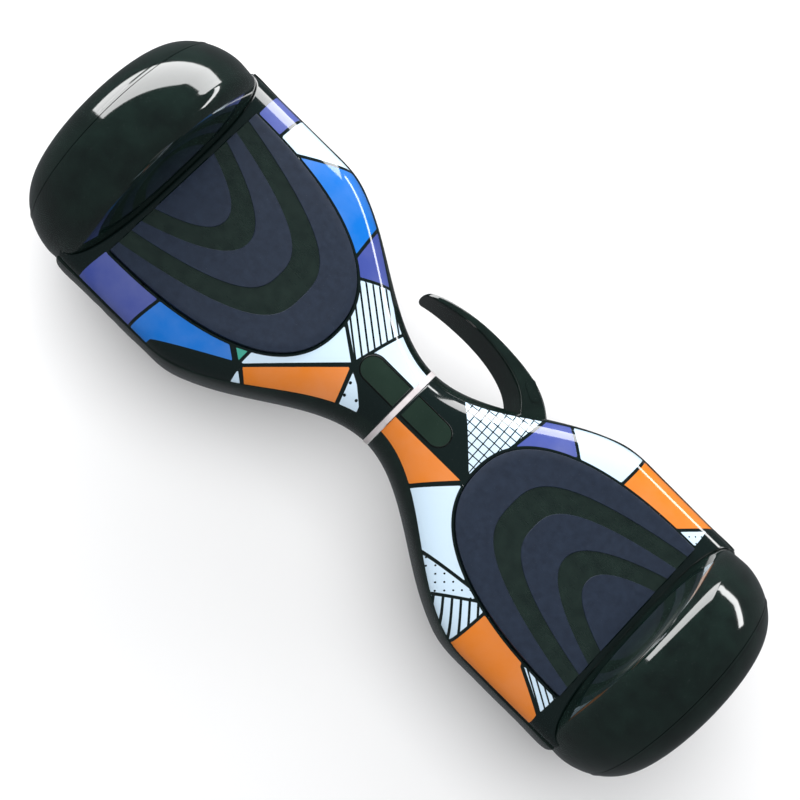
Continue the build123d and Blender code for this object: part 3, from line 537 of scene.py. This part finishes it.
# Each ring of the pad: where its tip is, its half width beside the fender, and how blunt its tip is.
# Every second band lies lower than the pad's top by the step.
padTop = dict(height=118.5, bottom=113.5, step=.55, bevel=.014, rim=.45, round=.13, columns=181)
padRings = [
    dict(tip=97.0, halfWidth=59.5, blunt=.33),
    dict(tip=118.0, halfWidth=48.0, blunt=.36),
    dict(tip=147.0, halfWidth=39.0, blunt=.48),
    dict(tip=168.0, halfWidth=27.0, blunt=.46),
    dict(tip=203.0, halfWidth=0.0, blunt=.5),
]


# A ring's points: y = half width * s, x from the tip by |s| to the power 1 / blunt.
def ringCurve(ring, s):
    x = ring["tip"] + (padShape["end"] - ring["tip"]) * np.abs(s) ** (1 / ring["blunt"])
    return np.stack([x, ring["halfWidth"] * s], -1)


# The pad's own edge: the superellipse, drawn in by a little at the bevel.
def edgeCurve(s, inset=0.0):
    power = padShape["power"]
    length = padShape["end"] - padShape["tip"] - inset
    x = padShape["end"] - length * (1 - np.abs(s) ** power) ** (1 / power)
    return np.stack([x, (padShape["halfWidth"] - inset) * s], -1)


# Rows run from the middle of the underside round the edge, and over the raised and sunk bands to the middle
# of the top. Between two curves a point is the first plus a share of the way to the second.
def padMesh():
    s = np.sin(np.linspace(-np.pi / 2, np.pi / 2, padTop["columns"]))
    curves = [edgeCurve(s, padTop["rim"])] + [ringCurve(ring, s) for ring in padRings]
    top, low = padTop["height"], padTop["height"] - padTop["step"]
    rows = [(curves[-1], padTop["bottom"]), (edgeCurve(s), padTop["bottom"]), (edgeCurve(s),
                                                                               top - padTop["rim"]),
            (edgeCurve(s, padTop["round"]), top - padTop["round"]), (curves[0], top)]
    sunk = [False, False, False, False]
    for band in range(len(padRings)):
        level = top if band % 2 == 0 else low
        other = low if band % 2 == 0 else top
        for share in (.25, .5, .75):
            rows.append((curves[band] + (curves[band + 1] - curves[band]) * share, level))
            sunk.append(band % 2 == 1)
        last = band == len(padRings) - 1
        if last:
            rows.append((curves[band + 1], level))
            sunk.append(False)
        else:
            inner = curves[band] + (curves[band + 1] - curves[band]) * (1 - padTop["bevel"])
            rows += [(inner, level), (curves[band + 1], other)]
            sunk += [band % 2 == 1, False]
    points = np.array([np.concatenate([plan, np.full((len(s), 1), z)], 1) for plan, z in rows])
    return points, sunk


windowTop = dict(thickness=1.5, lowEdge=-.4, crest=.3, crestAt=.07, floorAt=.14, proud=.1, rings=14,
                 sealShadeRows=13)


# Window: its outline drawn in ring by ring to a short line along the middle, laid on the cover's own height,
# with a narrow raised rim whose height runs straight from the low edge to the crest and down to the pane.
def windowMesh():
    outline = windowOutline(0, 49)
    outline = np.concatenate([outline, np.stack([np.full(7, windowShape["start"]),
                              np.linspace(windowShape["halfWidth"], -windowShape["halfWidth"], 9)[1:-1]],
                                                -1)])
    spine = np.stack([np.clip(outline[:, 0], windowShape["start"] + 3, windowShape["end"] - 9),
                      0 * outline[:, 0]], -1)
    share = np.concatenate([[0], np.linspace(0, windowTop["floorAt"], 13), np.linspace(.2, 1,
                                                                                       windowTop["rings"])])
    rise = np.interp(share, [0, windowTop["crestAt"], windowTop["floorAt"]],
                     [windowTop["lowEdge"], windowTop["crest"], windowTop["proud"]])
    plan = outline[None] + (spine - outline)[None] * share[:, None, None]
    high = coverHeight(plan[..., 0], plan[..., 1]) + rise[:, None]
    high[0] -= windowTop["thickness"]
    return np.concatenate([plan, high[..., None]], -1)


# Near-black rows at the window's rim: painted shade standing in for the dark groove round the pane.
finishes["window_seal_shade"] = dict(dark=(.0008, .001, .001), light=(.002, .0026, .0025), scale=120,
                               rough=(.2, .35), wear=30, grain=1500, depth=.00003, coat=0, metal=0)
materials["window_seal_shade"] = finishMaterial("window_seal_shade")
for side, sign in sides.items():
    points = windowMesh() * [sign, 1, 1]
    faces = gridFaces(*points.shape[:2], closed=True)
    pane = meshPiece(f"{side}_status_pane", points, faces, materials["smoked_window"], flip=sign < 0)
    # The outer wall and raised rim, the first rows of faces, take the near-black painted shade.
    pane.data.materials.append(materials["window_seal_shade"])
    sealShadeFaces = windowTop["sealShadeRows"] * points.shape[1]
    sealShade = np.arange(len(faces)) < sealShadeFaces
    pane.data.polygons.foreach_set("material_index", sealShade.astype(np.int32))
    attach(pane, f"{side}_half")
    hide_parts(f"{side}_status_window")
print("status windows made")

fenderShape = dict(foot=210.0, creaseX=231.0, creaseRadius=90.3, crown=91.0, crownX=241.0,
                   seamX=262.0, cut=44.0, wall=2.4, turns=200, groove=.9,
                   wallRows=46, crownRows=44, lipRows=40)
lipShape = dict(start=262.5, end=281.6, endRadius=58.0, power=1.75)


# Inner wall: a quarter superellipse from the foot up to the crease.
def fenderWall(count):
    share = np.sin(np.linspace(0, np.pi / 2, count))
    radius = fenderFoot["low"] + fenderFoot["rise"] * share
    power = fenderFoot["power"]
    return np.stack([fenderShape["foot"] + fenderFoot["run"] * (1 - (1 - share ** power) ** (1 / power)),
                     radius], -1)


# Outer dome: radius = end + (crown - end) * sqrt(1 - u ** power), u = distance past the crown / run to the
# lip.
def domeRadius(x):
    run = lipShape["end"] - fenderShape["crownX"]
    past = np.clip((x - fenderShape["crownX"]) / run, 0, 1)
    fall = np.sqrt(1 - past ** lipShape["power"])
    return lipShape["endRadius"] + (fenderShape["crown"] - lipShape["endRadius"]) * fall


# Crown: rises from the crease by (distance to the crown / run) ** 1.5, then follows the dome to the seam.
def fenderCrown(count):
    x = np.linspace(fenderShape["creaseX"], fenderShape["seamX"], count)
    before = np.clip((fenderShape["crownX"] - x) / (fenderShape["crownX"] - fenderShape["creaseX"]), 0, 1)
    return np.stack([x,
                     domeRadius(x) - (fenderShape["crown"] - fenderShape["creaseRadius"]) * before ** 1.5],
                    -1)


# Lip strip: the dome from the seam to its end, x spaced as a sine.
def lipProfile(count):
    share = np.sin(np.linspace(0, np.pi / 2, count))
    x = lipShape["start"] + (lipShape["end"] - lipShape["start"]) * share
    return np.stack([x, domeRadius(x)], -1)


# A profile of (x, radius) is turned about the axle, and each row stops where it would pass under the cut.
def turnedArch(name, profile, sign, body, node):
    x, radius = profile[:, :1], profile[:, 1:]
    reach = np.arccos(np.clip(-(axleHeight - fenderShape["cut"]) / radius, -1, 1))
    turn = np.linspace(-1, 1, fenderShape["turns"])[None] * reach
    points = np.stack([sign * x + 0 * turn, radius * np.sin(turn), axleHeight + radius * np.cos(turn)], -1)
    faces = gridFaces(*points.shape[:2])
    arch = meshPiece(name, points, faces, materials["shell_gloss"], smoothAngle=24, flip=sign > 0)
    solidify(arch, fenderShape["wall"])
    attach(arch, body)
    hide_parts(node)


# The first or last point of a profile gains a short step inwards, so that the seam reads as a groove.
def groovedEdge(profile, at, depth):
    inward = profile[at].copy() - [0, depth]
    return np.concatenate([profile, [inward]]) if at else np.concatenate([[inward], profile])


for side, sign in sides.items():
    dome = np.concatenate([fenderWall(fenderShape["wallRows"]), fenderCrown(fenderShape["crownRows"])[1:]])
    dome = groovedEdge(dome, -1, fenderShape["groove"])
    turnedArch(f"{side}_wheel_fender", dome, sign, f"{side}_half", f"{side}_fender")
    lip = groovedEdge(lipProfile(fenderShape["lipRows"]), 0, fenderShape["groove"])
    turnedArch(f"{side}_fender_lip", lip, sign, f"{side}_half", f"{side}_fender_trim")
print("fenders made")


# Four long edges of the bar from its tip to its base: each a height and a few places (x, y) that a polynomial
# is fitted to. Knots say how far along the bar those places are.
handleShape = dict(low=69.0, high=96.6, outerHigh=95.4, corner=.13, tip=.05, degree=6, rows=150, turns=6,
                   knots=(0, .12, .25, .42, .58, .74, .88, 1))
handleRails = [
    (handleShape["low"],
     [(-43, 63.5), (-31, 66.4), (-15, 68), (4, 68.2), (22, 66.6), (38, 62), (50, 55), (56, 46)]),
    (handleShape["high"],
     [(-42.5, 65.5), (-31, 70), (-16, 73.3), (2, 75.2), (21, 74.3), (38, 70.5), (52, 64), (64, 50)]),
    (handleShape["outerHigh"],
     [(-43, 67), (-31, 74.4), (-15, 78.8), (4, 81), (24, 81.5), (44, 79.4), (63, 74.3), (80, 62)]),
    (handleShape["low"],
     [(-43, 66.6), (-31, 73.8), (-15, 78.2), (4, 80.4), (24, 80.9), (44, 78.8), (63, 73.7), (79, 61.5)]),
]


# Section: the four edges joined by straight runs, each corner a quadratic curve between points a share along
# its sides.
# Near the tip the section shrinks about its middle by sqrt(1 - (1 - t / tip) ** 2).
def handleMesh():
    knots = np.array(handleShape["knots"])
    t = np.concatenate([handleShape["tip"] * (1 - np.cos(np.linspace(0, np.pi / 2, 24))),
                        np.linspace(handleShape["tip"], 1, handleShape["rows"])[1:]])
    rails = []
    for height, places in handleRails:
        columns = np.array(places, float).T
        fit = [np.polyval(np.polyfit(knots, column, handleShape["degree"]), t) for column in columns]
        rails.append(np.stack([*fit, np.full(len(t), height)], -1))
    corners = np.array(rails)
    turn = np.linspace(0, 1, handleShape["turns"])[:, None, None]
    loop = []
    for at in range(4):
        corner = corners[at]
        before = corner + (corners[at - 1] - corner) * handleShape["corner"]
        after = corner + (corners[(at + 1) % 4] - corner) * handleShape["corner"]
        loop.append(before * (1 - turn) ** 2 + 2 * corner * turn * (1 - turn) + after * turn ** 2)
    points = np.concatenate(loop).transpose(1, 0, 2)
    middle = points.mean(1, keepdims=True)
    near = np.clip(1 - t / handleShape["tip"], 0, 1)
    size = np.sqrt(1 - near ** 2)[:, None, None]
    return middle + (points - middle) * size


grip = handleMesh()
gripFaces = gridFaces(*grip.shape[:2], closed=True)
bar = meshPiece("grip_bar", grip, gripFaces, materials["shell_gloss"], smoothAngle=40, flip=True)
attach(bar, "right_half")
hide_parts("carry_handle")
print("carry handle made")


# pad_band: the dark glossy bands, whose green tint is painted reflection of green surroundings in the gloss.
finishes["pad_band"] = dict(dark=(.006, .0125, .011), light=(.010, .02, .0165), scale=120, rough=(.22, .36),
                            wear=16, grain=1800, depth=.00005, coat=.35, metal=0)
materials["pad_band"] = finishMaterial("pad_band")
for side, sign in sides.items():
    points, sunk = padMesh()
    rowCount, columnCount = points.shape[:2]
    points = points * [sign, 1, 1]
    faces = gridFaces(rowCount, columnCount).tolist()
    firstEnd = [row * columnCount for row in range(rowCount)]
    lastEnd = [index + columnCount - 1 for index in firstEnd]
    for loop in (firstEnd[::-1], lastEnd):
        faces.append(loop)
    flat = points.reshape(-1, 3)
    mesh = bpy.data.meshes.new(f"{side}_foot_mat")
    if sign > 0:
        faces = [face[::-1] for face in faces]
    mesh.from_pydata((flat * mm).tolist(), [], faces)
    mesh.materials.append(materials["pad_rubber"])
    mesh.materials.append(materials["pad_band"])
    bands = np.zeros(len(faces), np.int32)
    bands[:(rowCount - 1) * (columnCount - 1)] = np.repeat(np.array(sunk, np.int32), columnCount - 1)
    mesh.polygons.foreach_set("material_index", bands)
    mesh.polygons.foreach_set("use_smooth", np.ones(len(faces), bool))
    mesh.set_sharp_from_angle(angle=np.radians(30))
    mat = bpy.data.objects.new(f"{side}_foot_mat", mesh)
    bpy.context.scene.collection.objects.link(mat)
    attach(mat, f"{side}_pad")
    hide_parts(f"{side}_foot_pad")
print("foot pads made")


# Camera, floor and world: places in metres, angles in degrees.
studio = dict(
    lookAt=(0, 0, .0825), azimuth=-.13, elevation=78.75, roll=44.67, distance=1.1, lens=72.9,
    shift=(.0016, .0108), floor=(.86, .86, .87), world=(.5, .53, .56), worldPower=.16,
)
# Each light: where it stands, its size, its power, and whether it shows in the gloss.
lights = [
    ("sky_window", (-1.25, 1.0, .6), (3.0, 1.0), 58, True),
    ("far_strip", (.5, 1.5, .4), (1.4, .2), 7, True),
    ("near_strip", (.3, -1.6, .2), (1.6, .1), 2, False),
    ("overhead", (0, 0, 2.2), (2.6, 2.6), 60, False),
]


def softLight(name, place, size, power, shows):
    light = bpy.data.lights.new(name, "AREA")
    light.shape = "RECTANGLE"
    light.size, light.size_y = size
    light.energy = power
    lamp = bpy.data.objects.new(name, light)
    bpy.context.scene.collection.objects.link(lamp)
    toward = np.array(studio["lookAt"]) - place
    lamp.location = place
    lamp.rotation_euler = Vector(toward).to_track_quat("-Z", "Y").to_euler()
    lamp.visible_glossy = shows


for name, place, size, power, shows in lights:
    softLight(name, place, size, power, shows)

world = bpy.data.worlds.new("studio")
world.use_nodes = True
world.node_tree.nodes["Background"].inputs["Color"].default_value = (*studio["world"], 1)
world.node_tree.nodes["Background"].inputs["Strength"].default_value = studio["worldPower"]
bpy.context.scene.world = world

floorMesh = bpy.data.meshes.new("floor")
floorMesh.from_pydata([(-4, -4, 0), (4, -4, 0), (4, 4, 0), (-4, 4, 0)], [], [(0, 1, 2, 3)])
floorNodes = Nodes("floor")
tint = floorNodes.mix(floorNodes.noise(3, 2), studio["floor"], (.9, .9, .9))
floorMesh.materials.append(floorNodes.set(Base_Color=tint, Roughness=.7))
floor = bpy.data.objects.new("floor", floorMesh)
bpy.context.scene.collection.objects.link(floor)
floor.visible_glossy = False
bpy.context.scene.view_settings.view_transform = "Standard"

azimuth, elevation, roll = np.radians([studio["azimuth"], studio["elevation"], studio["roll"]])
outward = np.array([-np.sin(azimuth) * np.cos(elevation), -np.cos(azimuth) * np.cos(elevation),
                    np.sin(elevation)])
level = np.cross(-outward, (0, 0, 1))
level /= np.linalg.norm(level)
upward = np.cross(level, -outward)
rightWay = np.cos(roll) * level + np.sin(roll) * upward
upWay = np.cos(roll) * upward - np.sin(roll) * level
cameraData = bpy.data.cameras.new("camera")
cameraData.lens = studio["lens"]
cameraData.shift_x, cameraData.shift_y = studio["shift"]
camera = bpy.data.objects.new("camera", cameraData)
bpy.context.scene.collection.objects.link(camera)
place = np.array(studio["lookAt"]) + outward * studio["distance"]
turned = np.eye(4)
turned[:3, :4] = np.stack([rightWay, upWay, outward, place], 1)
camera.matrix_world = Matrix(turned.tolist())
bpy.context.scene.camera = camera
print("studio ready")
